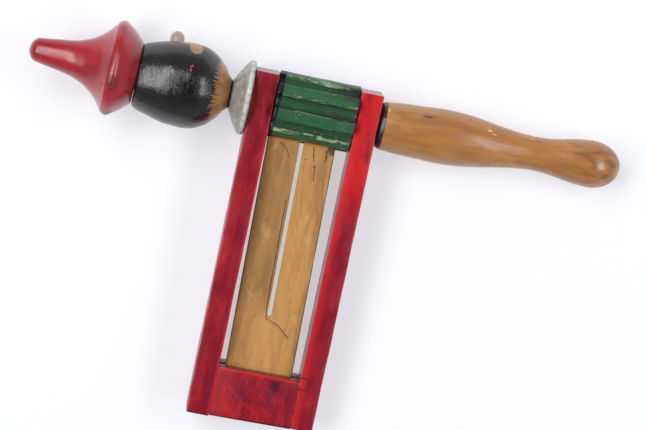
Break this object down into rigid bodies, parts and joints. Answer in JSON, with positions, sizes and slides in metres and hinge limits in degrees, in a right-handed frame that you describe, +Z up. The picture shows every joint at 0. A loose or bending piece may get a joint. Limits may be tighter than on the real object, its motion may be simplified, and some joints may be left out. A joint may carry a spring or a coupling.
{
  "type": "ratchet noisemaker",
  "caption": "Wooden hand rattle: a red two-rail frame whirls round a handle's spindle, and a slit tongue clacks over a toothed cog below a turned doll's head in a brimmed hat.",
  "frame": {"origin": "on the table below the middle of the whole object's box", "axes": "+Z up from the table, +X along the spindle from the hat towards the handle, +Y away from the frame"},
  "size_m": [0.2994, 0.1855, 0.0482],
  "materials": {
    "handle_wood": "varnished wood",
    "spindle_wood": "bare wood, darkened",
    "cog_green": "worn green paint on wood",
    "collar_paint": "grey-white paint on wood",
    "head_paint": "gloss paint on wood",
    "nose_paint": "gloss paint on wood",
    "hat_red": "gloss paint on wood",
    "frame_red": "gloss paint on wood, worn",
    "tongue_wood": "bare wood, smoothed by use",
    "nail_steel": "dull steel"
  },
  "bodies": {
    "handle_set": {"handle": "handle_wood", "spindle": "spindle_wood", "cog": "cog_green", "cog_peg": "spindle_wood", "collar": "collar_paint", "head": "head_paint", "nose": "nose_paint", "hat": "hat_red", "hat_dowel": "spindle_wood"},
    "frame": {"left_rail": "frame_red", "right_rail": "frame_red", "end_block": "frame_red", "left_rail_nails": "nail_steel", "right_rail_nails": "nail_steel", "tongue_root": "tongue_wood", "tongue_brads": "nail_steel"},
    "left_reed": {"left_reed": "tongue_wood"},
    "right_reed": {"right_reed": "tongue_wood"}
  },
  "joints": [
    {"name": "frame_spin", "type": "hinge", "parent": "handle_set", "child": "frame", "pos_m": [-0.00613, 0.06729, 0.01893], "axis": [-0.9987, 0, 0.0504], "continuous": true, "deforming": ["left_reed", "right_reed"]},
    {"name": "left_reed_flex", "type": "hinge", "parent": "frame", "child": "left_reed", "pos_m": [-0.00706, -0.03848, 0.01622], "axis": [0.9985, 0.0227, -0.0494], "range_deg": [-1, 1], "stiffness_Nm_per_rad": 9},
    {"name": "right_reed_flex", "type": "hinge", "parent": "frame", "child": "right_reed", "pos_m": [-0.00706, -0.03848, 0.01622], "axis": [0.9985, 0.0227, -0.0494], "range_deg": [-1, 1], "stiffness_Nm_per_rad": 9}
  ]
}
